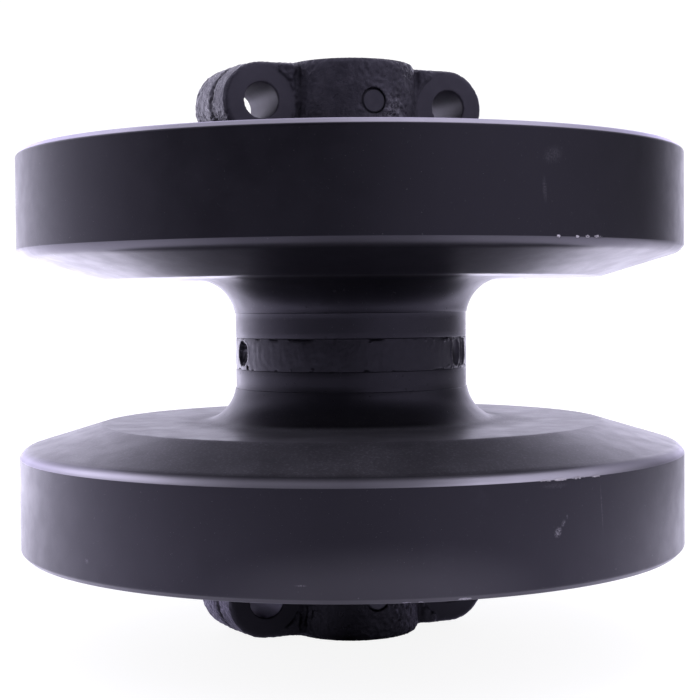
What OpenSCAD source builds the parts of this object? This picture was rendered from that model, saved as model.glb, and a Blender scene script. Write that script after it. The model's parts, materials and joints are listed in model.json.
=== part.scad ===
// Track roller: a welded double rim running on oil-filled bushings round a fixed shaft,
// with a cast bolt-on collar at each end and a face seal between each collar and the rim.
// The shaft lies along Z, with the origin at the roller's middle. The collars bolt up
// against a track frame at +Y, and their bolt heads sit on the -Y side.

/* [Rims] */
// Radius of the two treads
rim_r = 127; // [120:1:134]
// Height of each rim's outer face above the middle plane
rim_face_z = 75; // [73:0.5:77]
// Height of each tread's inner edge above the middle plane
tread_edge_z = 38.7; // [37:0.1:42]
// Height of the flat inner flange face above the middle plane
flange_z = 27.4; // [25:0.1:30]
// Radius where the flat flange face turns into the sloped shoulder
shoulder_r = 96.5; // [90:0.5:104]
// Chamfer at each rim's outer edge
rim_chamfer = 2; // [1:0.5:3]

/* [Hub] */
// Radius of the machined band round the middle of the hub
hub_r = 44.7; // [43:0.1:48]
// Half length of that band
band_z = 14.4; // [12:0.1:16]
// Step from the band up to the start of the fillet
band_step = 0.3; // [0.1:0.1:0.6]
// Radius of the fillet between the band and the flange
fillet_r = 15.2; // [13:0.1:15.4]
// Height of the seam weld's upper edge above the middle plane
weld_above = 4.9; // [4:0.1:7]
// Depth of the seam weld's lower edge below the middle plane
weld_below = 7; // [4:0.1:8]
// Height of the weld's crown above the hub
weld_crown = 0.2; // [0.1:0.1:1]

/* [Shaft] */
// Radius of the shaft inside the bushings
journal_r = 19; // [18:0.1:19.5]
// Radius of the shaft's ends inside the collars
seat_r = 17.5; // [16:0.1:17.5]
// Radius of the thrust flange in the middle of the shaft
thrust_r = 26.4; // [24:0.1:26.6]

/* [Collars] */
// Height of each collar's end face above the middle plane
end_z = 109.2; // [109:0.1:112]
// Radius of the collar's boss
boss_r = 25.4; // [24:0.1:27]
// Distance between the two bolt holes of one collar
bolt_spacing = 77; // [75:0.1:79]
// Radius of the bolt holes
bolt_hole_r = 6.75; // [5.5:0.05:7.5]
// Height of the bolt holes above the middle plane
bolt_z = 94; // [93:0.1:94]
// Radius of each ear's round end on the bolt head side
ear_r = 14.3; // [13:0.1:14.5]
// Radius of the same end at the casting's parting line
ear_parting_r = 15.1; // [14.5:0.1:15.1]
// Radius of each ear's round end on the mounting side
ear_back_r = 14.9; // [13.5:0.1:15]
// Distance from the shaft's axis to the flat mounting face
mount_y = 25; // [24:0.1:28]
// Distance from the shaft's axis to the bolt head seats
seat_y = 8.4; // [7:0.1:10]
// Radius of the pins that lock the collars to the shaft
pin_r = 4.6; // [4:0.05:5]
// Height of the pins above the middle plane
pin_z = 93.3; // [92:0.1:94]

/* [Hidden] */
$fn = 96;
// Gap left between two pieces that are pressed or clamped together
snug = 0.03;
// Running clearance between the shaft and a bushing
running = 0.05;
// Bore of the two rims, where the bushings sit
bore_r = 27;
// The fillet runs from the end of the band to the flange face
fillet_cz = flange_z - fillet_r;
fillet_cr = hub_r + band_step + sqrt(pow(fillet_r, 2) - pow(band_z - fillet_cz, 2));
fillet_start = asin((band_z - fillet_cz) / fillet_r);
// The weld's crown is drawn in this many steps above its root
weld_root_r = 36;
weld_steps = 6;
// A blend breaks the edge between the tread and the shoulder, and meets the tread at an angle
edge_blend_r = 6;
edge_start = 24;
shoulder_slope = 20;
// The outer side of each rim is dished between the tread ring and the hub
dish_floor_z = 49;
dish_outer_r = 103;
dish_inner_r = 56;
dish_draft = 12;
dish_corner_r = 7;
dish_lip_r = 2.5;
// Labyrinth between the hub's end and the collar's cup
hub_end_z = 69;
hub_end_r = 50;
labyrinth_r = 42.5;
cup_r = 41.3;
// The bushing's flange sits in a pocket below the seal
bush_flange_r = 32;
bush_flange_z = 46;
bush_end_z = 50;
bush_start_z = 7.25;
oil_groove_z = 28;
oil_groove_w = 5;
oil_groove_depth = 1.5;
thrust_half_w = 7;
// The two seal rings meet in this plane, and each toric rides on ramps of this slope
seal_z = 58.7;
seal_face_gap = 0.05;
toric_r = 2.6;
toric_ring_r = 32.5;
toric_depth = 5.3;
ramp_slope = 12;
housing_mouth = 0.5;
housing_depth = 8.7;
seal_ring_bore_r = 26;
seal_ring_face_r = 34.2;
seal_ring_flange = 2.6;
seal_ring_length = 7.5;
seal_band_r = 30.8;
seal_relief = 0.25;
seal_lead = 1;
// Shaft details
shaft_shoulder_z = 68.6;
shaft_end_z = 106.9;
shaft_chamfer = 1.5;
gallery_x = 10;
gallery_r = 2.75;
feed_r = 2;
plug_r = 5;
plug_length = 9;
plug_z = 106;
plug_hex = 5;
plug_hex_depth = 5;
// Collar details, with a length that cuts right through a collar or out of a shaft's end
reach = 60;
cup_top_z = 73;
neck_r = 31;
neck_z = 79;
end_round = 2;
spot_r = 13.5;
web_rise = 1;
web_x = 31;
bore_chamfer = 0.8;
ear_foot_z = 76;
ear_foot_x = 37;
ear_foot_bevel = 6;
ear_foot_rise = 1;
parting_y = 4.5;
ear_draft_x = 0.9;
ear_back_x = 2;
ear_back_taper = 0.6;
ear_back_z = end_z - 0.2 - ear_back_r;
pad_inset = 1.6;
pad_rise = 3;
o_ring_r = 1.4;
o_ring_z = 73;
o_ring_groove_w = 3.6;
pin_front = 25;
pin_back = 22;
pin_chamfer = 0.6;

PAINT = [0.13, 0.13, 0.16];
CAST = [0.16, 0.16, 0.19];
WELD = [0.12, 0.12, 0.14];
STEEL = [0.62, 0.63, 0.65];
BRONZE = [0.72, 0.52, 0.27];
RUBBER = [0.05, 0.05, 0.05];
SEAL_IRON = [0.45, 0.45, 0.47];

// Points along an arc from angle a0 to a1
function arc(cx, cy, r, a0, a1, steps = 8) =
    [for (i = [0:steps]) let (a = a0 + (a1 - a0) * i / steps) [cx + r * cos(a), cy + r * sin(a)]];

// Radius of the housing's ramp, and of the seal ring's, at depth h behind the seal plane
function housing_ramp(h) =
    toric_ring_r + (toric_r + snug) / cos(ramp_slope) - tan(ramp_slope) * (h - toric_depth);
function ring_ramp(h) =
    toric_ring_r - (toric_r + snug) / cos(ramp_slope) - tan(ramp_slope) * (h - toric_depth);

// Weld groove, hub band, fillet, flange face, shoulder and the blend up to the tread
function inner_side(weld_edge) = let (
    blend_cr = rim_r - edge_blend_r * cos(edge_start),
    blend_cz = tread_edge_z + edge_blend_r * sin(edge_start),
    blend_end = -90 + shoulder_slope,
    blend = arc(blend_cr, blend_cz, edge_blend_r, blend_end, -edge_start, 6)
) concat(
    [[weld_root_r, 0], [hub_r, weld_edge], [hub_r, band_z]],
    arc(fillet_cr, fillet_cz, fillet_r, 180 - fillet_start, 90, 12),
    [[shoulder_r, flange_z]],
    blend
);

// Tread ring, dish and the outside of the hub's end
function outer_side() = let (
    wall = tan(dish_draft) * (rim_face_z - dish_floor_z),
    boss_wall = tan(dish_draft) * (hub_end_z - dish_floor_z)
) concat(
    [[rim_r, rim_face_z - rim_chamfer], [rim_r - rim_chamfer, rim_face_z]],
    arc(dish_outer_r + dish_lip_r, rim_face_z - dish_lip_r, dish_lip_r, 90, 180 - dish_draft, 4),
    arc(dish_outer_r - wall - dish_corner_r, dish_floor_z + dish_corner_r, dish_corner_r,
        -dish_draft, -90, 5),
    arc(dish_inner_r + boss_wall + dish_corner_r, dish_floor_z + dish_corner_r, dish_corner_r,
        270, 180 + dish_draft, 5),
    [[hub_end_r + end_round, hub_end_z - end_round], [hub_end_r, hub_end_z]]
);

// Labyrinth, seal housing, bushing pocket and bore
function bore_side() = [
    [labyrinth_r, hub_end_z],
    [labyrinth_r, seal_z - housing_mouth],
    [housing_ramp(housing_mouth), seal_z - housing_mouth],
    [housing_ramp(housing_depth), bush_end_z],
    [bush_flange_r + snug, bush_end_z],
    [bush_flange_r + snug, bush_flange_z],
    [bore_r, bush_flange_z],
    [bore_r, 0]
];

module both_ends_mirror(upper) {
    if (upper) children();
    else mirror([0, 0, 1]) children();
}

module rim(upper) {
    weld_edge = upper ? weld_above : weld_below;
    color(PAINT) both_ends_mirror(upper)
        rotate_extrude() polygon(concat(inner_side(weld_edge), outer_side(), bore_side()));
}

module seam_weld() {
    color(WELD) rotate_extrude() polygon(concat(
        [[weld_root_r, 0]],
        [for (i = [0:weld_steps]) let (part = i / weld_steps)
            [hub_r + weld_crown * sin(180 * part), (weld_above + weld_below) * part - weld_below]]
    ));
}

module bushing(upper) {
    bush_r = bore_r - snug;
    color(BRONZE) both_ends_mirror(upper) difference() {
        union() {
            translate([0, 0, bush_start_z]) cylinder(r = bush_r, h = bush_end_z - bush_start_z);
            translate([0, 0, bush_flange_z + snug])
                cylinder(r = bush_flange_r, h = bush_end_z - bush_flange_z - snug);
        }
        cylinder(r = journal_r + running, h = 2 * bush_end_z);
        translate([0, 0, oil_groove_z - oil_groove_w / 2])
            cylinder(r = journal_r + oil_groove_depth, h = oil_groove_w);
    }
}

// One metal seal ring with its face in the plane z = 0 and its body below
module seal_ring() {
    color(SEAL_IRON) rotate_extrude() polygon([
        [seal_band_r, 0],
        [seal_ring_face_r, 0],
        [seal_ring_face_r, -seal_ring_flange],
        [ring_ramp(seal_ring_flange), -seal_ring_flange],
        [ring_ramp(seal_ring_length), -seal_ring_length],
        [seal_ring_bore_r, -seal_ring_length],
        [seal_ring_bore_r, -seal_lead],
        [seal_band_r, -seal_relief]
    ]);
}

module toric() {
    color(RUBBER) rotate_extrude() translate([toric_ring_r, -toric_depth]) circle(r = toric_r);
}

module rotating_seal(upper) {
    both_ends_mirror(upper) translate([0, 0, seal_z - seal_face_gap / 2]) children();
}

module fixed_seal(upper) {
    both_ends_mirror(upper)
        translate([0, 0, seal_z + seal_face_gap / 2]) mirror([0, 0, 1]) children();
}

module along_y(r, from, to) {
    translate([0, from, 0]) rotate([-90, 0, 0]) cylinder(r = r, h = to - from);
}

module shaft() {
    half = [
        [thrust_r, 0], [thrust_r, thrust_half_w], [journal_r, thrust_half_w],
        [journal_r, shaft_shoulder_z], [seat_r, shaft_shoulder_z],
        [seat_r, shaft_end_z - shaft_chamfer], [seat_r - shaft_chamfer, shaft_end_z]
    ];
    other_half = [for (i = [len(half) - 1:-1:1]) [half[i][0], -half[i][1]]];
    color(STEEL) difference() {
        rotate_extrude() polygon(concat([[0, -shaft_end_z]], other_half, half, [[0, shaft_end_z]]));
        for (end = [-1, 1]) translate([0, 0, end * pin_z]) along_y(pin_r, -reach, reach);
        translate([gallery_x, 0, oil_groove_z]) cylinder(r = gallery_r, h = shaft_end_z);
        translate([gallery_x, 0, plug_z - plug_length]) cylinder(r = plug_r, h = reach);
        translate([gallery_x, 0, oil_groove_z + feed_r]) rotate([0, 90, 0])
            cylinder(r = feed_r, h = journal_r);
    }
}

module oil_plug() {
    color(STEEL) translate([gallery_x, 0, plug_z - plug_length]) difference() {
        cylinder(r = plug_r - snug, h = plug_length);
        translate([0, 0, plug_length - plug_hex_depth])
            cylinder(d = plug_hex / cos(30), h = plug_length, $fn = 6);
    }
}

// Round cast body of the collar: cup, neck and boss
module collar_body() {
    rotate_extrude() polygon(concat(
        [[seat_r, seal_z + housing_mouth], [cup_r, seal_z + housing_mouth], [cup_r, cup_top_z]],
        arc(neck_r + end_round, neck_z - end_round, end_round, 60, 180, 6),
        [[boss_r, neck_z + end_round]],
        arc(boss_r - end_round, end_z - end_round, end_round, 0, 90, 5),
        [[seat_r, end_z]]
    ));
}

// Part of an ear between two planes across Y: a round end whose radius goes from r0 to r1,
// the web from there to the boss, and the web's foot on the cup
module ear_part(from, to, x, z, r0, r1) {
    translate([x, from, z]) rotate([-90, 0, 0]) cylinder(r1 = r0, r2 = r1, h = to - from);
    rotate([90, 0, 90]) linear_extrude(height = x)
        polygon([[from, z], [to, z], [to, z + r1], [from, z + r0]]);
    translate([0, to, 0]) rotate([90, 0, 0]) linear_extrude(height = to - from) polygon([
        [0, ear_foot_z], [ear_foot_x - ear_foot_bevel, ear_foot_z],
        [ear_foot_x, z - r0 + ear_foot_rise], [x, z - r0], [x, z], [0, z]
    ]);
}

// Both halves widen away from the bolt head side, with a small step between them at the
// parting line, a raised web beside the boss and a raised pad under the mounting face
module ear(side) {
    x = bolt_spacing / 2;
    back_x = x + ear_back_x;
    pad_r = ear_back_r - pad_inset;
    mirror(side < 0 ? [1, 0, 0] : [0, 0, 0]) {
        ear_part(-seat_y, parting_y, x, bolt_z, ear_r, ear_r);
        ear_part(-seat_y, parting_y, x + ear_draft_x, bolt_z, ear_r - ear_draft_x, ear_parting_r);
        ear_part(parting_y, mount_y - pad_rise, back_x, ear_back_z,
            ear_back_r - ear_back_taper, ear_back_r);
        ear_part(parting_y, mount_y, back_x, ear_back_z, pad_r, pad_r);
        translate([0, -seat_y - web_rise, ear_foot_z])
            cube([web_x, seat_y, bolt_z + ear_r - ear_foot_z]);
    }
}

// Seal housing, shaft bore and O-ring groove, cut from below
module collar_bore() {
    rotate_extrude() polygon([
        [0, seal_z],
        [housing_ramp(0), seal_z],
        [housing_ramp(housing_depth), seal_z + housing_depth],
        [journal_r + snug, seal_z + housing_depth],
        [journal_r + snug, shaft_shoulder_z + snug],
        [seat_r + snug, shaft_shoulder_z + snug],
        [seat_r + snug, o_ring_z - o_ring_groove_w / 2],
        [seat_r + 2 * o_ring_r + 2 * snug, o_ring_z - o_ring_groove_w / 2],
        [seat_r + 2 * o_ring_r + 2 * snug, o_ring_z + o_ring_groove_w / 2],
        [seat_r + snug, o_ring_z + o_ring_groove_w / 2],
        [seat_r + snug, end_z - bore_chamfer],
        [seat_r + snug + 2 * bore_chamfer, end_z + bore_chamfer],
        [0, end_z + bore_chamfer]
    ]);
}

module bolt_hole(side) {
    translate([side * bolt_spacing / 2, 0, bolt_z]) {
        along_y(bolt_hole_r, -reach, reach);
        along_y(spot_r, -reach, -seat_y);
    }
}

// The boss is milled flat behind, level with the ears' mounting faces
module mounting_flat() {
    translate([-reach, mount_y, ear_foot_z]) cube([2 * reach, reach, reach]);
}

module collar(upper) {
    color(CAST) both_ends_mirror(upper) difference() {
        union() {
            collar_body();
            for (side = [-1, 1]) ear(side);
        }
        collar_bore();
        for (side = [-1, 1]) bolt_hole(side);
        translate([0, 0, pin_z]) along_y(pin_r, -reach, reach);
        mounting_flat();
    }
}

module collar_pin(upper) {
    radius = pin_r - snug;
    color(STEEL) both_ends_mirror(upper) translate([0, -pin_front, pin_z]) rotate([-90, 0, 0])
        rotate_extrude() polygon([
            [0, 0], [radius - pin_chamfer, 0], [radius, pin_chamfer],
            [radius, pin_front + pin_back - pin_chamfer],
            [radius - pin_chamfer, pin_front + pin_back], [0, pin_front + pin_back]
        ]);
}

module shaft_o_ring(upper) {
    color(RUBBER) both_ends_mirror(upper) translate([0, 0, o_ring_z])
        rotate_extrude() translate([seat_r + o_ring_r + snug, 0]) circle(r = o_ring_r);
}

rim(true);  // upper_rim
rim(false);  // lower_rim
seam_weld();
bushing(true);  // upper_bushing
bushing(false);  // lower_bushing
rotating_seal(true) seal_ring();  // upper_rotating_seal_ring
rotating_seal(false) seal_ring();  // lower_rotating_seal_ring
rotating_seal(true) toric();  // upper_rotating_seal_toric
rotating_seal(false) toric();  // lower_rotating_seal_toric
shaft();
collar(true);  // upper_collar
collar(false);  // lower_collar
collar_pin(true);  // upper_collar_pin
collar_pin(false);  // lower_collar_pin
fixed_seal(true) seal_ring();  // upper_fixed_seal_ring
fixed_seal(false) seal_ring();  // lower_fixed_seal_ring
fixed_seal(true) toric();  // upper_fixed_seal_toric
fixed_seal(false) toric();  // lower_fixed_seal_toric
shaft_o_ring(true);  // upper_shaft_o_ring
shaft_o_ring(false);  // lower_shaft_o_ring
oil_plug();
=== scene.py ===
import json
import math
import random

import bmesh
import bpy
import numpy as np
from mathutils import Matrix, Vector, noise


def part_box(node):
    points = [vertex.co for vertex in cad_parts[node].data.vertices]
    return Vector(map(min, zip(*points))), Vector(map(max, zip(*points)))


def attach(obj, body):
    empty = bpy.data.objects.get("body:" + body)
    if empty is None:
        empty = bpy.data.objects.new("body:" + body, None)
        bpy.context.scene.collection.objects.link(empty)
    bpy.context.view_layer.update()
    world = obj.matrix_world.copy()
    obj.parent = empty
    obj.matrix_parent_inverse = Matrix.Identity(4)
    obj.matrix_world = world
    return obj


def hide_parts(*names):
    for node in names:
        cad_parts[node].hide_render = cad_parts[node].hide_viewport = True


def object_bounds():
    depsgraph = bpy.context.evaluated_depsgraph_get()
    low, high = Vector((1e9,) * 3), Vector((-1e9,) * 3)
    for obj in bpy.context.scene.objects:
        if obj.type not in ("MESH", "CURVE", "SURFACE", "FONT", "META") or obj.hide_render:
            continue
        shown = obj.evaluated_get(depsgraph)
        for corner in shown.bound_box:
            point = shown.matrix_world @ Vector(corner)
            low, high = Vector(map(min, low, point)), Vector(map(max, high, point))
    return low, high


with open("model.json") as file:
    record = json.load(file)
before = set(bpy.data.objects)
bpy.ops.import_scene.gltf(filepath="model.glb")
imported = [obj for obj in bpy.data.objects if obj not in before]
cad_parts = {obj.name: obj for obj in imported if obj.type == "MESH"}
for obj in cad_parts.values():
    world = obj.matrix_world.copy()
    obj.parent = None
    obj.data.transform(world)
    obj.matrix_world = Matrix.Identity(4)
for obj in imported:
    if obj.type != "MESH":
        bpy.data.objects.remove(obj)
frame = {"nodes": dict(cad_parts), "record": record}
cad_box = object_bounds()

MM = 0.001
NODES = frame["nodes"]
CASTINGS = ("upper_collar", "lower_collar")
RIMS = ("upper_rim", "lower_rim")

# ---------------------------------------------------------------- camera and studio
# The camera stands on the bolt-head side, turned a little round the shaft.
CAMERA_TURN = 22.0
CAMERA_DISTANCE = 0.588
CAMERA_HEIGHT = 0.0192
CAMERA_PITCH = -1.91
CAMERA_YAW = -0.04
CAMERA_ROLL = -0.52
CAMERA_LENS = 77.55

# How bright the studio is, by the direction in degrees to the right of the camera: the wall up to
# about 22 degrees above the horizon, the wall above it up to about 50 degrees, the ceiling, and
# the floor near the roller and far from it. It is white behind the roller and dark in front.
LOW_WALL = [
    (-180, 1.6), (-160, 2.2), (-140, 1.95), (-120, 1.0), (-100, 0.5), (-80, 0.4), (-62, 0.02), (0, 0.0),
    (20, 0.4), (45, 0.55), (60, 0.5), (100, 0.2), (122, 0.03), (140, 0.95), (160, 2.5), (180, 1.6),
]
HIGH_WALL = [
    (-180, 0.9), (-150, 1.2), (-120, 1.3), (-95, 0.85), (-60, 0.35), (-25, 0.03), (5, 0.05), (30, 0.6),
    (60, 0.8), (100, 0.45), (125, 0.35), (150, 0.9), (180, 0.9),
]
NEAR_FLOOR = [(-180, 2.4), (-90, 1.3), (-5, 0.02), (90, 0.9), (180, 2.4)]
FAR_FLOOR = [(-180, 2.2), (-135, 3.0), (-90, 0.7), (-45, 0.0), (125, 0.0), (180, 2.4)]
CEILING = [(-180, 0.5), (-120, 0.48), (-60, 0.27), (40, 0.27), (90, 0.7), (120, 1.0), (180, 0.7)]
# The sine of the height at which one part of the wall blends into the next
LOW_TO_HIGH = (0.33, 0.42)
HIGH_TO_CEILING = (0.73, 0.80)
# Between these distances from the shaft's axis, in metres, the near floor blends into the far one,
# and the roller's own shade, which leaves this share of the light, ends
NEAR_TO_FAR = (0.35, 0.65)
SHADE_TO_LIGHT = (0.10, 0.15)
SHADE = 0.12
LIGHT_TINT = (1.04, 1.0, 1.24)
BACKDROP = 1.1


def turned(angle):
    return Matrix.Rotation(math.radians(angle), 4, "Z")


def camera_angle(degrees):
    """Turns degrees to the right of the camera's side into an angle round Z from +X."""
    return math.radians(degrees - 90 - CAMERA_TURN)


def make_camera():
    data = bpy.data.cameras.new("studio_camera")
    data.sensor_width = 36.0
    data.lens = CAMERA_LENS
    data.clip_start = 0.01
    data.clip_end = 100.0
    camera = bpy.data.objects.new("studio_camera", data)
    bpy.context.scene.collection.objects.link(camera)
    place = Matrix.Translation((0, -CAMERA_DISTANCE, CAMERA_HEIGHT))
    tilt = Matrix.Rotation(math.radians(90 + CAMERA_PITCH), 4, "X")
    roll = Matrix.Rotation(math.radians(CAMERA_ROLL), 4, "Z")
    camera.matrix_world = turned(-CAMERA_TURN) @ place @ turned(-CAMERA_YAW) @ tilt @ roll
    bpy.context.scene.camera = camera


class Nodes:
    """A short way to write a node tree: each call adds one node and returns its output."""

    def __init__(self, tree):
        self.tree = tree

    def add(self, kind, inputs=(), output=0, **settings):
        node = self.tree.nodes.new("ShaderNode" + kind)
        for name, value in settings.items():
            setattr(node, name, value)
        for key, value in dict(inputs).items():
            self.put(node.inputs[key], value)
        return node.outputs[output]

    def put(self, socket, value):
        if isinstance(value, bpy.types.NodeSocket):
            self.tree.links.new(value, socket)
        else:
            socket.default_value = value

    def math(self, operation, a, b=0.0, clamp=False):
        return self.add("Math", {0: a, 1: b}, operation=operation, use_clamp=clamp)

    def ramp(self, value, low, high, to_low=0.0, to_high=1.0):
        """Goes smoothly from to_low to to_high as value goes from low to high."""
        inputs = {"Value": value, 1: low, 2: high, 3: to_low, 4: to_high}
        return self.add("MapRange", inputs, interpolation_type="SMOOTHSTEP")

    def mix(self, factor, a, b):
        """Mixes two colours."""
        a, b = [c if isinstance(c, bpy.types.NodeSocket) else (*c, 1.0) for c in (a, b)]
        return self.add("Mix", {0: factor, 6: a, 7: b}, output=2, data_type="RGBA")

    def grey(self, value):
        return self.add("CombineXYZ", {0: value, 1: value, 2: value})

    def split(self, vector):
        node = self.tree.nodes.new("ShaderNodeSeparateXYZ")
        self.tree.links.new(vector, node.inputs[0])
        return list(node.outputs)

    def curve(self, value, stops):
        """Joins (position from 0 to 1, grey) stops with straight stretches."""
        node = self.tree.nodes.new("ShaderNodeValToRGB")
        self.tree.links.new(value, node.inputs[0])
        elements = node.color_ramp.elements
        while len(elements) < len(stops):
            elements.new(0.5)
        for element, (position, grey) in zip(elements, stops):
            element.position = position
            element.color = (grey, grey, grey, 1)
        return node.outputs[0]

    def round_camera(self, vector, levels):
        """The level in a direction round Z, from (degrees right of the camera's side, level) stops."""
        turn = {"Vector": vector, "Angle": math.radians(CAMERA_TURN)}
        x, y, _ = self.split(self.add("VectorRotate", turn))
        angle = self.math("ARCTAN2", x, self.math("MULTIPLY", y, -1.0))
        position = self.math("ADD", self.math("DIVIDE", angle, 2 * math.pi), 0.5)
        top = max(level for _, level in levels)
        grey = self.curve(position, [(degrees / 360 + 0.5, level / top) for degrees, level in levels])
        return self.math("MULTIPLY", grey, top)

    def blend(self, factor, a, b):
        """Mixes two numbers."""
        return self.add("Mix", {0: factor, 2: a, 3: b}, data_type="FLOAT")


def make_world():
    world = bpy.data.worlds.new("studio")
    bpy.context.scene.world = world
    world.use_nodes = True
    world.node_tree.nodes.remove(world.node_tree.nodes["Background"])
    nodes = Nodes(world.node_tree)
    direction = nodes.add("TexCoord", output="Generated")
    z = nodes.split(direction)[2]
    low = nodes.round_camera(direction, LOW_WALL)
    high = nodes.round_camera(direction, HIGH_WALL)
    wall = nodes.blend(nodes.ramp(z, *LOW_TO_HIGH), low, high)
    ceiling = nodes.round_camera(direction, CEILING)
    light = nodes.blend(nodes.ramp(z, *HIGH_TO_CEILING), wall, ceiling)
    lit = nodes.add("Background", {"Color": (*LIGHT_TINT, 1), "Strength": light})
    plain = nodes.add("Background", {"Color": (1, 1, 1, 1), "Strength": BACKDROP})
    is_camera = nodes.add("LightPath", output="Is Camera Ray")
    shown = nodes.add("MixShader", {0: is_camera, 1: lit, 2: plain})
    nodes.tree.links.new(shown, nodes.tree.nodes["World Output"].inputs["Surface"])


def floor_sheet(name, height, albedo, glow):
    """A square floor round the origin, out of every camera's reach."""
    reach = 6.0
    corners = [(x * reach, y * reach, height) for x, y in ((-1, -1), (1, -1), (1, 1), (-1, 1))]
    mesh = bpy.data.meshes.new(name)
    mesh.from_pydata(corners, [], [(0, 1, 2, 3)])
    floor = bpy.data.objects.new(name, mesh)
    bpy.context.scene.collection.objects.link(floor)
    material = bpy.data.materials.new(name)
    material.use_nodes = True
    shader = material.node_tree.nodes["Principled BSDF"]
    shader.inputs["Base Color"].default_value = (albedo, albedo, albedo, 1)
    shader.inputs["Roughness"].default_value = 0.9
    shader.inputs["Specular IOR Level"].default_value = 0.1
    shader.inputs["Emission Color"].default_value = (1, 1, 1, 1)
    shader.inputs["Emission Strength"].default_value = glow
    mesh.materials.append(material)
    return floor


def make_floor():
    """A pale table top that only the camera sees, over one that only lights the roller."""
    low = cad_box[0][2]
    table = floor_sheet("studio_table", low, 0.35, 0.9)
    table.visible_diffuse = False
    table.visible_glossy = False
    table.visible_shadow = False
    white = 0.8
    bounce = floor_sheet("studio_bounce", low - 0.1 * MM, white, 0.0)
    bounce.visible_camera = False
    nodes = Nodes(bounce.data.materials[0].node_tree)
    place = nodes.add("TexCoord", output="Object")
    far = nodes.add("VectorMath", {0: place}, output=1, operation="LENGTH")
    near_level = nodes.round_camera(place, NEAR_FLOOR)
    far_level = nodes.round_camera(place, FAR_FLOOR)
    shader = nodes.tree.nodes["Principled BSDF"]
    shader.inputs["Emission Color"].default_value = (*LIGHT_TINT, 1)
    level = nodes.blend(nodes.ramp(far, *NEAR_TO_FAR), near_level, far_level)
    shade = nodes.ramp(far, *SHADE_TO_LIGHT, SHADE, 1.0)
    nodes.put(shader.inputs["Emission Strength"], nodes.math("MULTIPLY", level, shade))
    nodes.put(shader.inputs["Base Color"], nodes.grey(nodes.math("MULTIPLY", shade, white)))


make_camera()
make_world()
make_floor()
bpy.context.scene.view_settings.view_transform = "Standard"


# ---------------------------------------------------------------- materials
class Surface(Nodes):
    """A material with one Principled shader, in the object's own coordinates."""

    def __init__(self, name, **sockets):
        self.material = bpy.data.materials.new(name)
        self.material.use_nodes = True
        super().__init__(self.material.node_tree)
        self.shader = self.tree.nodes["Principled BSDF"]
        self.place = self.add("TexCoord", output="Object")
        x, y, self.height = self.split(self.place)
        squares = [self.math("POWER", side, 2) for side in (x, y)]
        self.radius = self.math("SQRT", self.math("ADD", *squares))
        for socket, value in sockets.items():
            self.set(socket.replace("_", " "), value)

    def set(self, socket, value):
        self.put(self.shader.inputs[socket], value)

    def noise(self, size_mm, detail=3.0, roughness=0.5, vector=None):
        """Noise whose lumps are about size_mm across, from 0 to 1."""
        inputs = {"Vector": vector or self.place, "Scale": 1 / (size_mm * MM), "Detail": detail,
                  "Roughness": roughness}
        return self.add("TexNoise", inputs)

    def lathe_lines(self, pitch_mm):
        """Fine rings round the shaft's axis, as a lathe leaves them."""
        rings = self.add("CombineXYZ", {0: self.radius, 1: self.height})
        return self.noise(pitch_mm, 2.0, 0.6, rings)

    def bump(self, height, depth_mm, strength=1.0, below=None):
        inputs = {"Height": height, "Distance": depth_mm * MM, "Strength": strength}
        if below is not None:
            inputs["Normal"] = below
        return self.add("Bump", inputs)

    def facing_up(self):
        return self.split(self.add("NewGeometry", output="Normal"))[2]

    def upper(self, below, above):
        """One number on the object's lower half and another on its upper half."""
        return self.ramp(self.height, -0.01, 0.01, below, above)

    def attribute(self, name):
        return self.add("Attribute", output="Fac", attribute_name=name)


PAINT = (0.0066, 0.0062, 0.0082)
PAINT_CLOUD = (0.0090, 0.0085, 0.0110)
DUST = (0.40, 0.395, 0.42)
SMUDGE = (0.020, 0.019, 0.024)
BARE = (0.62, 0.60, 0.62)
CHALK = (0.30, 0.29, 0.31)
BURNISHED = (0.62, 0.605, 0.65)
SHEEN = (0.86, 0.82, 1.0, 1.0)
# The blend between a tread and its shoulder, and where the chamfer at a rim's outer side starts
BLEND_TOP_Z = 35.7 * MM
TREAD_EDGE_Z = 38.7 * MM
CHAMFER_Z = 73.3 * MM
# Radii in metres between which the hub ends and the blend, the chamfer and the tread start
HUB_END_R = (0.060, 0.072)
BLEND_R = (0.1205, 0.1225)
CHAMFER_R = (0.1235, 0.1245)
TREAD_R = (0.1262, 0.1268)
# How much of the blend is rubbed bright, by the degrees right of the camera: partly real wear and
# partly painted shade, low where the camera looks straight at the band
BAND_WEAR_AND_SHADE = [
    (-180, 0.7), (-90, 0.35), (-62, 0.65), (-45, 1.0), (-30, 1.0), (-15, 0.42), (0, 0.32), (9, 0.48),
    (18, 1.0), (38, 1.0), (56, 0.3), (90, 0.5), (180, 0.7),
]

# Rubbed marks on the treads: (degrees right of the camera, height, width, tall, tilt, strength),
# in mm and degrees, with the strength from 0 to 1
RUBS = [
    (31.1, -55.6, 3.4, 4.6, -30, 1.0), (32.1, -52.9, 1.8, 3.4, -30, 0.6),
    (32.8, -51.0, 1.0, 1.8, 0, 0.5), (39.9, -49.5, 0.7, 22.0, 5, 0.25),
    (-7.3, -68.8, 5.0, 0.8, 0, 0.75), (29.0, 53.5, 2.2, 11.0, 4, 0.20),
    (30.5, 64.5, 10.0, 7.0, 20, 0.16), (30.5, -40.6, 14.0, 2.4, 0, 0.12),
    (-44.0, -66.5, 2.6, 2.4, 0, 0.30), (155.0, -56.0, 14.0, 4.0, 15, 0.40),
    (-120.0, 58.0, 9.0, 5.0, -10, 0.35), (98.0, 52.0, 1.2, 16.0, 12, 0.30),
    (-160.0, -50.0, 0.8, 18.0, -8, 0.30),
]
# A soft pale patch of painted light from the floor at the lower tread's foot, placed as the rubs are,
# and its strength
FLOOR_LIT_FOOT = (4.0, -73.0, 160.0, 38.0, 0)
FLOOR_LIT_FOOT_STRENGTH = 0.22
# How far a mark's mask reaches into the rim, in metres
RUB_DEPTH = 0.02


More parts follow.
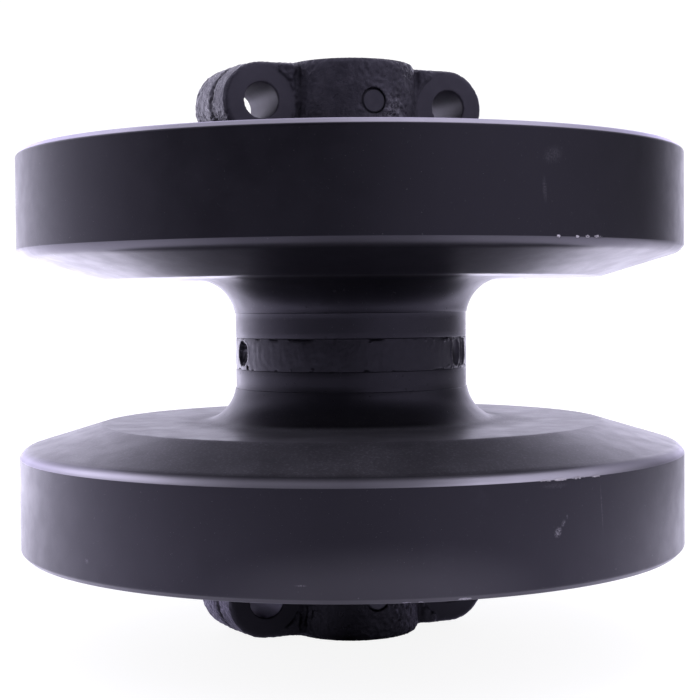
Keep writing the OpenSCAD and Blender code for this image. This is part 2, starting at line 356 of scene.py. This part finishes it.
def rub(surface, at, height, width, tall, tilt):
    """A mask that is 1 at the middle of a mark on a tread and 0 from its edge on."""
    angle = camera_angle(at)
    out = Vector((math.cos(angle), math.sin(angle), 0))
    along = Vector((-out.y, out.x, 0))
    up = Vector((0, 0, 1))
    lean = math.radians(tilt)
    first = along * math.cos(lean) + up * math.sin(lean)
    second = up * math.cos(lean) - along * math.sin(lean)
    turn = Matrix((first, second, out)).transposed().to_euler("XYZ")
    middle = out * cad_box[1][0] + up * height * MM
    inputs = {"Vector": surface.place, "Location": middle, "Rotation": turn,
              "Scale": (width / 2 * MM, tall / 2 * MM, RUB_DEPTH)}
    local = surface.add("Mapping", inputs, vector_type="TEXTURE")
    far = surface.add("VectorMath", {0: local}, output=1, operation="LENGTH")
    return surface.ramp(far, 0.2, 1.0, 1.0, 0.0)


def rim_paint():
    """Satin black paint on turned steel: orange peel, lathe rings, dust, pits darkened with painted
    shade, rubs, bare nicks, edges rubbed bright with painted shade on the blend near the camera's side,
    and painted light at the lower tread's foot."""
    s = Surface("rim_paint", IOR=1.5, Specular_IOR_Level=0.58, Specular_Tint=SHEEN)
    cloud = s.noise(38, 4, 0.55)
    fine = s.noise(2.2, 5, 0.65)
    grit = s.noise(0.5, 4, 0.75)
    tone = s.mix(s.ramp(cloud, 0.35, 0.75), PAINT, PAINT_CLOUD)
    upward = s.facing_up()
    flat_top = s.math("MULTIPLY", s.ramp(upward, 0.25, 0.85), s.ramp(upward, 0.90, 0.99, 0.12, 1.0))
    specks = s.ramp(s.noise(0.9, 4, 0.7), 0.48, 0.72, 0.45, 1.0)
    settled = s.math("MULTIPLY", s.math("MULTIPLY", flat_top, specks),
                     s.ramp(s.noise(16, 4, 0.6), 0.3, 0.7, 0.68, 1.0))
    tone = s.mix(s.math("MULTIPLY", settled, 0.8), tone, DUST)
    smear = s.math("MULTIPLY", s.ramp(s.noise(22, 3, 0.5), 0.62, 0.74), s.ramp(fine, 0.42, 0.62))
    tone = s.mix(s.math("MULTIPLY", smear, 0.35), tone, SMUDGE)
    for *place, strength in RUBS:
        worn = s.math("MULTIPLY", rub(s, *place), s.ramp(grit, 0.40, 0.60))
        tone = s.mix(s.math("MULTIPLY", worn, strength, clamp=True), tone, CHALK)
    # painted light: the lower tread's foot is lightened towards chalk colour as if lit from the floor
    # below
    tone = s.mix(s.math("MULTIPLY", rub(s, *FLOOR_LIT_FOOT), FLOOR_LIT_FOOT_STRENGTH), tone, CHALK)
    ragged = s.math("MULTIPLY", s.math("SUBTRACT", grit, 0.5), 1.6)
    bare = s.ramp(s.math("ADD", s.math("MULTIPLY", s.attribute("wear"), 0.95), ragged), 0.28, 0.42)
    level = s.math("ABSOLUTE", s.height)
    band = s.math("MULTIPLY", s.ramp(level, BLEND_TOP_Z - 0.6 * MM, TREAD_EDGE_Z - 1.1 * MM),
                  s.ramp(level, TREAD_EDGE_Z + 0.02 * MM, TREAD_EDGE_Z + 0.10 * MM, 1.0, 0.0))
    band = s.math("MULTIPLY", band, s.ramp(s.radius, *BLEND_R))
    band = s.math("MULTIPLY", band, s.upper(1.0, 0.16))
    # painted shade: the blend's rubbed bright metal is cut back where the camera looks straight at it
    band = s.math("MULTIPLY", band, s.round_camera(s.place, BAND_WEAR_AND_SHADE))
    chamfer = s.math("MULTIPLY", s.ramp(level, CHAMFER_Z - 0.15 * MM, CHAMFER_Z + 0.25 * MM),
                     s.ramp(s.radius, *CHAMFER_R))
    chamfer = s.math("MULTIPLY", chamfer, s.upper(0.10, 0.90))
    burnished_and_shade = s.math("MAXIMUM", band, chamfer)
    near_hub = s.ramp(s.radius, *HUB_END_R, 1.0, 0.0)
    # painted shade: the pits near the hub are dents whose colour is also darkened to near black
    pits = s.math("MULTIPLY", s.ramp(s.noise(1.5, 2, 0.5), 0.70, 0.735), near_hub)
    tone = s.mix(pits, tone, (0.001, 0.001, 0.001))
    tone = s.mix(burnished_and_shade, tone, BURNISHED)
    s.set("Base Color", s.mix(bare, tone, BARE))
    s.set("Metallic", s.math("MAXIMUM", s.math("MULTIPLY", bare, 0.9), burnished_and_shade))
    tread = s.ramp(s.radius, *TREAD_R)
    rough = s.ramp(s.noise(9, 4, 0.6), 0.3, 0.7, 0.28, 0.34)
    rough = s.math("ADD", rough, s.math("MULTIPLY", tread, 0.045))
    rough = s.math("ADD", rough, s.math("MULTIPLY", settled, 0.22))
    rough = s.math("ADD", rough, s.math("MULTIPLY", near_hub, 0.07))
    s.set("Roughness", s.math("SUBTRACT", rough, s.math("MULTIPLY", bare, 0.06)))
    peel = s.bump(s.noise(1.6, 3, 0.5), 0.010)
    rings = s.bump(s.lathe_lines(0.55), 0.014, 0.6, peel)
    dents = s.bump(pits, -0.15, 0.8, rings)
    s.set("Normal", s.bump(s.noise(0.25, 3, 0.7), 0.004, 0.6, dents))
    return s.material


def weld_paint():
    """The same paint over a weld, darker with painted shade in its crevices and craters, and patchy in
    gloss.
    """
    s = Surface("weld_paint", IOR=1.5, Specular_Tint=SHEEN)
    painted_hollow_shade = s.attribute("painted_hollow_shade")
    tone = s.mix(s.ramp(s.noise(4, 4, 0.6), 0.35, 0.7), PAINT, (0.0105, 0.0100, 0.0125))
    # painted shade: the colour darkens to near black in the bead's crevices and craters
    s.set("Base Color", s.mix(painted_hollow_shade, tone, (0.0015, 0.0015, 0.002)))
    s.set("Roughness", s.ramp(s.noise(2.5, 3, 0.6), 0.3, 0.7, 0.28, 0.42))
    s.set("Normal", s.bump(s.noise(0.7, 4, 0.6), 0.03, 0.8))
    return s.material


def collar_paint():
    """Semi-gloss black paint flooded over a sand casting, flatter on milled faces, paler in a patch
    beside the upper pin, with painted shade in the crevices and the pin's gap, and painted shade making
    the lower collar darker and less glossy."""
    s = Surface("collar_paint", IOR=1.5, Specular_Tint=SHEEN)
    milled = s.attribute("milled")
    painted_hollow_shade = s.attribute("painted_hollow_shade")
    tone = s.mix(s.ramp(s.noise(7, 5, 0.6), 0.35, 0.72), (0.058, 0.055, 0.070), (0.100, 0.095, 0.117))
    tone = s.mix(s.math("MULTIPLY", milled, 0.6), tone, (0.104, 0.099, 0.120))
    # a paler speckled patch beside the pin, over the lumps there
    pale_patch = s.math("MULTIPLY", s.attribute("pale_patch"), s.ramp(s.noise(1.0, 4, 0.7), 0.42, 0.60))
    tone = s.mix(pale_patch, tone, (0.34, 0.33, 0.37))
    # painted shade: the lower collar, which sits in shade near the floor, gets a darker tone and a dark
    # metallic finish that reflects less
    lower = s.upper(1.0, 0.0)
    painted_shade_tone = s.mix(s.noise(9, 4, 0.6), (0.016, 0.0155, 0.019), (0.024, 0.023, 0.028))
    tone = s.mix(lower, tone, painted_shade_tone)
    # painted shade: near-black colour in the casting's crevices and the pin's gap
    s.set("Base Color", s.mix(painted_hollow_shade, tone, (0.002, 0.002, 0.0025)))
    s.set("Metallic", s.math("MULTIPLY", lower, 0.7))
    flooded = s.grey(s.ramp(s.noise(3, 4, 0.65), 0.3, 0.72, 0.26, 0.44))
    s.set("Roughness", s.mix(milled, flooded, (0.52, 0.52, 0.52)))
    grain = s.bump(s.noise(1.3, 5, 0.65), 0.34, s.ramp(milled, 0, 1, 1.0, 0.08))
    s.set("Normal", s.bump(s.noise(0.3, 3, 0.7), 0.02, 0.5, grain))
    return s.material


def pin_paint():
    s = Surface("pin_paint", IOR=1.5, Specular_Tint=SHEEN)
    cloud = s.ramp(s.noise(3, 4, 0.6), 0.35, 0.7)
    s.set("Base Color", s.mix(cloud, (0.062, 0.060, 0.074), (0.088, 0.085, 0.103)))
    s.set("Roughness", s.ramp(s.noise(1.5, 3, 0.6), 0.3, 0.7, 0.36, 0.5))
    s.set("Normal", s.bump(s.noise(0.8, 4, 0.6), 0.02, 0.7))
    return s.material


def shaft_steel():
    """Ground steel along the journals and black paint on the ends outside the collars' bores."""
    s = Surface("shaft_steel", IOR=1.5, Specular_Tint=SHEEN)
    outside = s.ramp(s.math("ABSOLUTE", s.height), 0.1045, 0.1049)
    steel = s.mix(s.noise(6, 4, 0.6), (0.46, 0.46, 0.47), (0.60, 0.60, 0.61))
    paint = s.mix(s.noise(5, 4, 0.6), (0.008, 0.008, 0.010), (0.020, 0.019, 0.022))
    s.set("Base Color", s.mix(outside, steel, paint))
    s.set("Metallic", s.ramp(outside, 0, 1, 1.0, 0.0))
    s.set("Roughness", s.ramp(outside, 0, 1, 0.24, 0.42))
    turning = s.bump(s.lathe_lines(0.4), 0.012, 0.7)
    s.set("Normal", s.bump(s.noise(1.2, 4, 0.6), 0.015, 0.5, turning))
    return s.material


def turned_metal(name, dark, light, roughness, metallic, pitch):
    s = Surface(name)
    s.set("Base Color", s.mix(s.noise(5, 4, 0.6), dark, light))
    s.set("Metallic", metallic)
    s.set("Roughness", s.ramp(s.noise(2, 4, 0.6), 0.3, 0.7, roughness - 0.05, roughness + 0.07))
    s.set("Normal", s.bump(s.lathe_lines(pitch), 0.012, 0.6))
    return s.material


def seal_rubber():
    s = Surface("seal_rubber", IOR=1.52)
    s.set("Base Color", s.mix(s.noise(4, 4, 0.6), (0.010, 0.010, 0.010), (0.022, 0.021, 0.020)))
    s.set("Roughness", s.ramp(s.noise(1.5, 3, 0.6), 0.3, 0.7, 0.55, 0.72))
    s.set("Normal", s.bump(s.noise(0.5, 4, 0.6), 0.02, 0.5))
    return s.material


MATERIALS = {
    "rim_paint": rim_paint(),
    "weld_paint": weld_paint(),
    "collar_paint": collar_paint(),
    "pin_steel": pin_paint(),
    "shaft_steel": shaft_steel(),
    "bronze": turned_metal("bronze", (0.50, 0.31, 0.13), (0.68, 0.46, 0.22), 0.30, 1.0, 0.5),
    "seal_iron": turned_metal("seal_iron", (0.26, 0.26, 0.27), (0.40, 0.40, 0.41), 0.22, 1.0, 0.3),
    "plug_steel": turned_metal("plug_steel", (0.10, 0.10, 0.105), (0.18, 0.18, 0.185), 0.38, 0.9, 0.5),
    "seal_rubber": seal_rubber(),
}


# ---------------------------------------------------------------- mesh helpers
def new_piece(name, mesh, body, slot, replaced):
    """Puts a mesh in the scene on a body, in a material slot, in place of a CAD node."""
    piece = bpy.data.objects.new(name, mesh)
    bpy.context.scene.collection.objects.link(piece)
    mesh.materials.clear()
    mesh.materials.append(MATERIALS[slot])
    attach(piece, body)
    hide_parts(replaced)
    return piece


def write_attribute(mesh, name, values):
    attribute = mesh.attributes.new(name, "FLOAT", "POINT")
    attribute.data.foreach_set("value", np.asarray(values, np.float32))


def section(node):
    """A turned node's outline as (radius, height) points in order, from a cut through +X."""
    cut = bmesh.new()
    cut.from_mesh(NODES[node].data)
    bmesh.ops.remove_doubles(cut, verts=cut.verts, dist=0.002 * MM)
    geometry = cut.verts[:] + cut.edges[:] + cut.faces[:]
    plane = {"plane_co": (0, 0, 0), "plane_no": (0, 1, 0)}
    found = bmesh.ops.bisect_plane(cut, geom=geometry, dist=1e-7, **plane)
    edges = [g for g in found["geom_cut"] if isinstance(g, bmesh.types.BMEdge)]
    edges = [e for e in edges if min(v.co.x for v in e.verts) > 0]
    links = {}
    for edge in edges:
        a, b = edge.verts
        links.setdefault(a, []).append(b)
        links.setdefault(b, []).append(a)
    start = max(links, key=lambda v: v.co.x)
    walk = [start, links[start][0]]
    while walk[-1] != start:
        a, b = links[walk[-1]]
        walk.append(b if a == walk[-2] else a)
    points = [(v.co.x, v.co.z) for v in walk[:-1]]
    cut.free()
    keep = []
    for i, p in enumerate(points):
        a, b = Vector(points[i - 1]), Vector(points[(i + 1) % len(points)])
        if abs((b - a).normalized().cross((Vector(p) - a).normalized())) > 0.002:
            keep.append(Vector(p))
    return keep


def eased(points, radius, least_turn=14):
    """Rounds each corner sharper than least_turn degrees with three points on a small arc."""
    out = []
    for i, p in enumerate(points):
        a, b = points[i - 1], points[(i + 1) % len(points)]
        before, after = (a - p), (b - p)
        turn = math.degrees(math.pi - before.angle(after))
        reach = min(radius, before.length * 0.4, after.length * 0.4)
        if turn < least_turn:
            out.append(p)
            continue
        start, end = p + before.normalized() * reach, p + after.normalized() * reach
        out += [start, (start + end) / 4 + p / 2, end]
    return out


def divided(points, longest, near=None):
    """Splits steps longer than longest, everywhere or only within 2 mm of the places in near."""
    out = []
    for i, p in enumerate(points):
        q = points[(i + 1) % len(points)]
        close = near is None or min(((p + q) / 2 - place).length for place in near) < 2 * MM
        steps = max(1, math.ceil((q - p).length / longest)) if close else 1
        out += [p.lerp(q, k / steps) for k in range(steps)]
    return out


def ring_faces(rows, count):
    """The quads between each row and the next round a ring, where a row is a closed outline."""
    faces = []
    for i in range(rows):
        a, b = i * count, (i + 1) % rows * count
        for k in range(count):
            j = (k + 1) % count
            faces.append((a + k, b + k, b + j, a + j))
    return faces


def lathe(name, outline, angles):
    """Turns a closed outline round Z, with one row of points at each of the angles."""
    verts = [(r * math.cos(a), r * math.sin(a), z) for a in angles for r, z in outline]
    mesh = bpy.data.meshes.new(name)
    mesh.from_pydata(verts, [], ring_faces(len(angles), len(outline)))
    mesh.update()
    solid = bmesh.new()
    solid.from_mesh(mesh)
    bmesh.ops.recalc_face_normals(solid, faces=solid.faces)
    solid.to_mesh(mesh)
    solid.free()
    mesh.shade_smooth()
    return mesh


def coordinates(mesh):
    co = np.zeros(len(mesh.vertices) * 3)
    mesh.vertices.foreach_get("co", co)
    return co.reshape(-1, 3)


def set_coordinates(mesh, co):
    mesh.vertices.foreach_set("co", co.ravel())
    mesh.update()


def normals(mesh):
    out = np.zeros(len(mesh.vertices) * 3)
    mesh.vertices.foreach_get("normal", out)
    return out.reshape(-1, 3)


def lumps(co, size_mm, octaves=3, seed=0.0):
    """Smooth noise at each point, about -1 to 1."""
    scale = 1 / (size_mm * MM)
    shift = Vector((seed, seed * 0.7, -seed * 1.3))
    return np.array([noise.fractal(Vector(p) * scale + shift, 1.0, 2.0, octaves) for p in co])


# ---------------------------------------------------------------- rims
# Nicks in the rims' edges: (rim, degrees right of the camera, height, length, depth), in mm
NICKS = [
    ("lower_rim", 29.0, -38.8, 5.0, 0.14), ("lower_rim", 31.6, -38.8, 6.5, 0.22),
    ("lower_rim", 35.0, -38.8, 6.0, 0.18), ("lower_rim", 38.6, -38.8, 4.6, 0.12),
    ("upper_rim", 31.5, 38.8, 1.8, 0.22), ("upper_rim", 35.1, 38.8, 1.8, 0.20),
    ("upper_rim", 37.1, 38.9, 2.0, 0.20), ("upper_rim", 39.4, 38.9, 4.2, 0.22),
    ("lower_rim", 7.6, -74.9, 3.4, 0.1), ("lower_rim", 9.6, -74.9, 2.2, 0.1),
    ("lower_rim", 16.1, -74.4, 4.8, 0.14), ("lower_rim", -132.0, -38.8, 5.0, 0.4),
    ("upper_rim", 150.0, 38.8, 6.0, 0.4), ("upper_rim", -95.0, 73.3, 4.0, 0.3),
    ("lower_rim", 118.0, -73.3, 7.0, 0.3), ("upper_rim", 95.0, 38.8, 3.0, 0.3),
]
NICK_HALF_HEIGHT = 0.5 * MM
# Nicks stay outside this radius, in metres
NICK_LEAST_R = 0.115
# Rows of points round a rim, and the degrees between the finer rows across a nick
ROWS = 300
FINE_STEP = 0.16


def rim_angles(node):
    """Even rows round the rim, with finer ones across each nick."""
    angles = {round(360 * i / ROWS, 3) for i in range(ROWS)}
    for rim, at, _, length, _ in NICKS:
        if rim == node:
            half = math.degrees(length * MM / 2 / cad_box[1][0]) + 2 * FINE_STEP
            centre = math.degrees(camera_angle(at)) % 360
            steps = range(int(2 * half / FINE_STEP))
            angles |= {round((centre - half + k * FINE_STEP) % 360, 3) for k in steps}
    return [math.radians(a) for a in sorted(angles)]


def around(co, at):
    """Metres round the tread to each point from the place at degrees right of the camera."""
    angle = np.arctan2(co[:, 1], co[:, 0]) - camera_angle(at)
    angle = (angle + math.pi) % (2 * math.pi) - math.pi
    return angle * np.hypot(co[:, 0], co[:, 1])


def make_rim(node):
    reach = min(abs(v) for corner in cad_box for v in corner[:2])
    nicks = [nick for nick in NICKS if nick[0] == node]
    outline = divided(eased(section(node), 0.5 * MM), 2.5 * MM)
    outline = divided(outline, 0.3 * MM, [Vector((reach, nick[2] * MM)) for nick in nicks])
    outline = [Vector((min(p.x, reach), p.y)) for p in outline]
    mesh = lathe(node + "_forging", outline, rim_angles(node))
    co = coordinates(mesh)
    outward = normals(mesh)
    wear = np.zeros(len(co))
    for _, at, height, length, depth in nicks:
        along = around(co, at) / (length * MM / 2)
        across = (co[:, 2] - height * MM) / NICK_HALF_HEIGHT
        near = np.clip(1 - along**2 - across**2, 0, 1) * (np.hypot(co[:, 0], co[:, 1]) > NICK_LEAST_R)
        picked = near > 0
        ragged = np.zeros(len(co))
        ragged[picked] = np.clip(0.75 + lumps(co[picked], 0.8, 3, at), 0, 1.3)
        co -= outward * (near**0.5 * ragged * depth * MM)[:, None]
        wear = np.maximum(wear, near**0.5 * np.minimum(ragged, 1))
    set_coordinates(mesh, co)
    write_attribute(mesh, "wear", wear)
    new_piece(node + "_forging", mesh, "roller", "rim_paint", node)


for node in RIMS:
    make_rim(node)


# ---------------------------------------------------------------- seam weld
# Craters in the bead: (degrees right of the camera, height, half length, half height, depth, lip),
# in mm
CRATERS = [
    (-66.0, -0.7, 4.9, 4.6, 2.6, 0.12), (-60.3, -6.1, 1.0, 0.9, 0.9, 0.1),
    (60.7, -0.6, 2.9, 5.2, 1.0, 0.45), (70.5, -0.6, 1.9, 5.2, 0.6, 0.40),
    (-166.0, -0.5, 3.0, 4.0, 0.8, 0.3),
]
# Rows of points round the bead and steps across it, the ripples' pitch, how far the gaps along its
# edges reach in, and how many drops of spatter there are
BEAD_ROWS = 960
BEAD_COLUMNS = 40
RIPPLE = 3.4 * MM
GAP_REACH = 0.36 * MM
SPATTER = 46


def make_seam_bead():
    cast = coordinates(NODES["seam_weld"].data)
    radii = np.hypot(cast[:, 0], cast[:, 1])
    bottom, top = cast[:, 2].min(), cast[:, 2].max()
    middle, half = (top + bottom) / 2, (top - bottom) / 2
    root = radii.min()
    face = radii[cast[:, 2] > top - 0.01 * MM].max()
    draw = random.Random(7)
    angles = np.arange(BEAD_ROWS) * 2 * math.pi / BEAD_ROWS
    ring = np.stack([np.cos(angles), np.sin(angles), np.zeros(BEAD_ROWS)], 1) * face
    gaps = [np.clip(lumps(ring, 5.5, 4, seed) * 2 + mean, 0.02, 1) * 0.36 * MM
            for seed, mean in ((11, 0.26), (23, -0.06))]
    across = np.sin(np.linspace(-math.pi / 2, math.pi / 2, BEAD_COLUMNS + 1))
    t = np.broadcast_to(across, (BEAD_ROWS, BEAD_COLUMNS + 1))
    gap = np.where(t > 0, gaps[0][:, None], gaps[1][:, None])
    slope = np.where(t > 0, (face - root) / top, (root - face) / bottom)
    z = middle + t * (half - gap / slope - 0.02 * MM)
    edge = np.exp(-((1 - np.abs(t)) * half / GAP_REACH))
    along = angles[:, None] * face
    cos, sin = np.cos(angles)[:, None], np.sin(angles)[:, None]
    flat = np.stack([cos * face + 0 * z, sin * face + 0 * z, z], 2).reshape(-1, 3)
    wander = lumps(flat, 9, 2, 3.0).reshape(z.shape)
    grain = lumps(flat, 1.7, 4, 5.0).reshape(z.shape)
    bow = (1 - t**2) * 2.3 * MM
    wave = np.sin((along + bow + wander * 3.0 * MM) / RIPPLE * 2 * math.pi)
    strength = np.clip(0.35 + wander, 0.1, 1)
    rise = 0.08 * MM * (1 - t**2) + 0.035 * MM * strength * wave * (1 - t**4)
    rise = (rise + 0.08 * MM * wander + 0.03 * MM * grain) * (1 - edge) - gap * edge
    # painted shade in the gaps along the bead's edges and, below, in its craters, kept as an attribute
    painted_hollow_shade = np.clip(edge * gap / (0.30 * MM), 0, 1)
    for at, height, long, tall, depth, lip in CRATERS:
        turn = (angles - camera_angle(at) + math.pi) % (2 * math.pi) - math.pi
        reach = np.hypot(turn[:, None] * face / (long * MM), (z - height * MM) / (tall * MM))
        reach = reach + 0.10 * grain
        bowl = np.clip(1 - reach**2, 0, 1) ** 0.75
        rim = np.exp(-(((reach - 1.12) / 0.16) ** 2)) * (1 - t**4)
        rise = rise * (1 - bowl) - bowl * depth * MM + rim * lip * MM * (1 - edge)
        painted_hollow_shade = np.maximum(painted_hollow_shade, bowl * min(1.0, depth / 2.4))
    for _ in range(SPATTER):
        near = draw.choice((draw.uniform(50, 80), draw.uniform(-180, 180)))
        turn = (angles - camera_angle(near) + math.pi) % (2 * math.pi) - math.pi
        height = middle + draw.choice((-1, 1)) * draw.uniform(0.70, 0.93) * half
        size = draw.uniform(0.25, 0.55) * MM
        far = np.hypot(turn[:, None] * face, z - height) / size
        rise = rise + 0.5 * size * np.exp(-(far**2))
    flank = root + np.where(z > 0, z / top, z / bottom) * (face - root)
    radius = np.maximum(face + rise, flank + 0.05 * MM)
    surface = np.stack([cos * radius, sin * radius, z], 2)
    inner = root + 0.1 * MM
    spine = np.stack([cos * inner, sin * inner, np.zeros_like(cos)], 2)
    verts = np.concatenate([surface, spine], 1)
    mesh = bpy.data.meshes.new("seam_bead")
    faces = ring_faces(BEAD_ROWS, BEAD_COLUMNS + 2)
    mesh.from_pydata(verts.reshape(-1, 3).tolist(), [], faces)
    mesh.update()
    mesh.shade_smooth()
    write_attribute(mesh, "painted_hollow_shade", np.concatenate([painted_hollow_shade, 0 * painted_hollow_shade[:, :1]], 1).ravel())
    new_piece("seam_bead", mesh, "roller", "weld_paint", "seam_weld")


make_seam_bead()


# ---------------------------------------------------------------- collar castings
# The castings' mesh size, and how often their edges are smoothed
VOXEL = 0.62 * MM
ROUNDING_STEPS = 8
# Where the collar's bolt seats and parting line lie across Y, and the spot faces' radius
SEAT_Y = -8.4 * MM
PARTING_Y = 3.2 * MM
SPOT_R = 13.5 * MM
# The radii that hold the collar's bore, and its seal cavity up to a height, and the boss's radius
BORE_HOLD_R = 20 * MM
CAVITY_R = 39.5 * MM
CAVITY_Z = 68 * MM
BOSS_R = 27.5 * MM


def remeshed(node):
    """The node's solid as an even mesh of small quads."""
    copy = bpy.data.objects.new(node + "_copy", NODES[node].data.copy())
    bpy.context.scene.collection.objects.link(copy)
    remesh = copy.modifiers.new("even", "REMESH")
    remesh.mode = "VOXEL"
    remesh.voxel_size = VOXEL
    graph = bpy.context.evaluated_depsgraph_get()
    mesh = bpy.data.meshes.new_from_object(copy.evaluated_get(graph))
    bpy.data.objects.remove(copy)
    return mesh


def bolt_hole():
    """The bolt holes' spacing, height and radius, from the record."""
    dims = next(m for m in frame["record"]["mounts"] if m["name"] == "frame_bolts")["dims"]
    return dims["spacing_x_mm"] / 2 * MM, dims["spacing_y_mm"] / 2 * MM, dims["hole_r_mm"] * MM


def mean_of_neighbours(co, edges):
    ends = np.concatenate([edges, edges[:, ::-1]])
    count = np.bincount(ends[:, 0], minlength=len(co))[:, None]
    total = [np.bincount(ends[:, 0], co[ends[:, 1], k], minlength=len(co)) for k in range(3)]
    return np.stack(total, 1) / np.maximum(count, 1)


def smooth_step(value, low, high):
    t = np.clip((value - low) / (high - low), 0, 1)
    return t * t * (3 - 2 * t)


def make_casting(node):
    mesh = remeshed(node)
    co = coordinates(mesh)
    edges = np.zeros(len(mesh.edges) * 2, np.int64)
    mesh.edges.foreach_get("vertices", edges)
    edges = edges.reshape(-1, 2)
    low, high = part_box(node)
    sign = 1 if high[2] > 0 else -1
    end_z = max(abs(low[2]), abs(high[2]))
    mount_y = high[1]
    bolt_x, bolt_z, bolt_r = bolt_hole()
    pin_low, pin_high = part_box(node + "_pin")
    pin_r = (pin_high[2] - pin_low[2]) / 2
    pin_z = abs(pin_high[2] + pin_low[2]) / 2
    shaft_reach = np.hypot(co[:, 0], co[:, 1])

    def up(points):
        return points[:, 2] * sign

    def from_bolt(points):
        return np.stack([np.abs(points[:, 0]) - bolt_x, 0 * points[:, 0], up(points) - bolt_z], 1)

    off_bolt = np.linalg.norm(from_bolt(co), axis=1)
    in_bore = (np.abs(off_bolt - bolt_r) < 0.5 * MM) & (co[:, 1] > SEAT_Y - 0.5 * MM)
    on_seat = (np.abs(co[:, 1] - SEAT_Y) < 0.4 * MM) & (off_bolt < SPOT_R - 0.4 * MM)
    on_mount = co[:, 1] > mount_y - 0.35 * MM
    on_end = up(co) > end_z - 0.35 * MM
    inside = (shaft_reach < BORE_HOLD_R) | ((shaft_reach < CAVITY_R) & (up(co) < CAVITY_Z))
    off_pin = np.hypot(co[:, 0], up(co) - pin_z)
    in_pin = (off_pin < pin_r + 0.55 * MM) & (np.abs(co[:, 1]) > 15 * MM)
    held = in_bore | on_seat | on_mount | on_end | inside | in_pin
    for _ in range(ROUNDING_STEPS):
        move = (mean_of_neighbours(co, edges) - co) * 0.5
        co = co + move * (~held)[:, None]
    # machined holes and faces go back to their exact places
    spoke = from_bolt(co)
    scale = bolt_r / np.maximum(np.linalg.norm(spoke, axis=1), 1e-9)
    side = np.sign(co[:, 0])
    bore = in_bore & (co[:, 1] > SEAT_Y + 0.3 * MM) & (co[:, 1] < mount_y - 0.3 * MM)
    co[bore, 0] = (side * (bolt_x + spoke[:, 0] * scale))[bore]
    co[bore, 2] = (sign * (bolt_z + spoke[:, 2] * scale))[bore]
    co[on_seat, 1] = SEAT_Y
    co[on_mount, 1] = mount_y
    co[on_end, 2] = sign * end_z
    off_pin = np.hypot(co[:, 0], up(co) - pin_z)
    gap = 0.04 * MM + 0.14 * MM * smooth_step(np.abs(co[:, 1]), 22.2 * MM, 23.4 * MM)
    scale = (pin_r + gap) / np.maximum(off_pin, 1e-9)
    hole = in_pin & (off_pin < pin_r + 0.5 * MM)
    co[hole, 0] = (co[:, 0] * scale)[hole]
    co[hole, 2] = (sign * (pin_z + (up(co) - pin_z) * scale))[hole]
    set_coordinates(mesh, co)

    # the casting's skin: rougher right of the pin, with a broken crevice at the parting line
    outward = normals(mesh)
    turn = np.degrees(np.arctan2(co[:, 1], co[:, 0])) + 90 + CAMERA_TURN
    turn = (turn + 180) % 360 - 180
    coarse = lumps(co, 6.5, 3, 2.0 + sign)
    fine = lumps(co, 1.5, 4, 9.0 + sign)
    on_boss = (shaft_reach < BOSS_R) & (co[:, 1] < 5 * MM)
    away = np.hypot((turn - 42) / 14, (up(co) - 89 * MM) / (8 * MM))
    patch = np.where(on_boss, np.exp(-(away**2)), 0)
    right = np.where(on_boss, smooth_step(turn, 4, 16) * smooth_step(-turn, -82, -70), 0)
    left = np.where(on_boss, smooth_step(-turn, 22, 34), 0)
    web = (np.abs(co[:, 0]) > 24 * MM) & (co[:, 1] < SEAT_Y - 0.5 * MM)
    back = smooth_step(co[:, 1], PARTING_Y - 4 * MM, PARTING_Y)
    amount = 0.16 + 0.34 * right + 0.26 * left + patch + 0.32 * web + 0.14 * back
    line_y = PARTING_Y - 0.1 * MM + lumps(co, 4.0, 3, 8.0) * 0.5 * MM
    line = np.exp(-(((co[:, 1] - line_y) / (0.9 * MM)) ** 2)) * (np.abs(co[:, 0]) > 30 * MM)
    broken = np.clip(0.78 + lumps(co, 2.6, 3, 14.0 + sign), 0, 1)
    near_line = np.exp(-(((co[:, 1] - PARTING_Y) / (3.2 * MM)) ** 2)) * (np.abs(co[:, 0]) > 40 * MM)
    pits = smooth_step(lumps(co, 1.5, 3, 31.0), 0.28, 0.5) * near_line
    groove = np.abs(np.abs(co[:, 0]) - 24.6 * MM)
    valley = smooth_step(-groove, -1.5 * MM, -0.5 * MM) * (co[:, 1] < SEAT_Y + 0.6 * MM)
    valley = valley * np.clip(0.8 + 0.5 * coarse, 0.3, 1) * smooth_step(up(co), 78 * MM, 84 * MM)
    shift = (fine * amount + coarse * 0.12 - 0.05) * MM
    shift += 0.3 * MM * smooth_step(off_bolt, 13.2 * MM, 14 * MM) * (co[:, 1] > SEAT_Y + MM)
    shift -= (line * broken * 0.7 + pits * 0.25 + valley * 0.9) * MM
    shift = shift * (~held)
    co = co + outward * shift[:, None]
    co[:, 2] = np.clip(co[:, 2], -end_z, end_z)
    co[:, 1] = np.minimum(co[:, 1], mount_y)
    set_coordinates(mesh, co)
    mesh.shade_smooth()
    milled = in_bore | on_seat | on_mount | on_end
    # painted shade: darker colour in the parting-line crevice, the pits beside it, the valley between
    # web and boss, and the gap round the pin
    dark = np.clip(line * broken * 1.3 + pits * 0.7 + valley * 0.55, 0, 1) * (~held)
    ring = in_pin & (np.abs(co[:, 1]) > 21 * MM) & (off_pin < pin_r + 0.5 * MM)
    write_attribute(mesh, "milled", milled.astype(float))
    write_attribute(mesh, "pale_patch", np.clip(patch * 1.6 - 0.35, 0, 1) * (~in_pin))
    write_attribute(mesh, "painted_hollow_shade", np.maximum(dark, ring))
    new_piece(node + "_casting", mesh, "axle", "collar_paint", node)


for node in CASTINGS:
    make_casting(node)


# ---------------------------------------------------------------- plain CAD pieces
SLOT = {part["node"]: part["material_slot"] for part in frame["record"]["subparts"]}
for name, node in NODES.items():
    node.data.materials.clear()
    node.data.materials.append(MATERIALS[SLOT[name]])
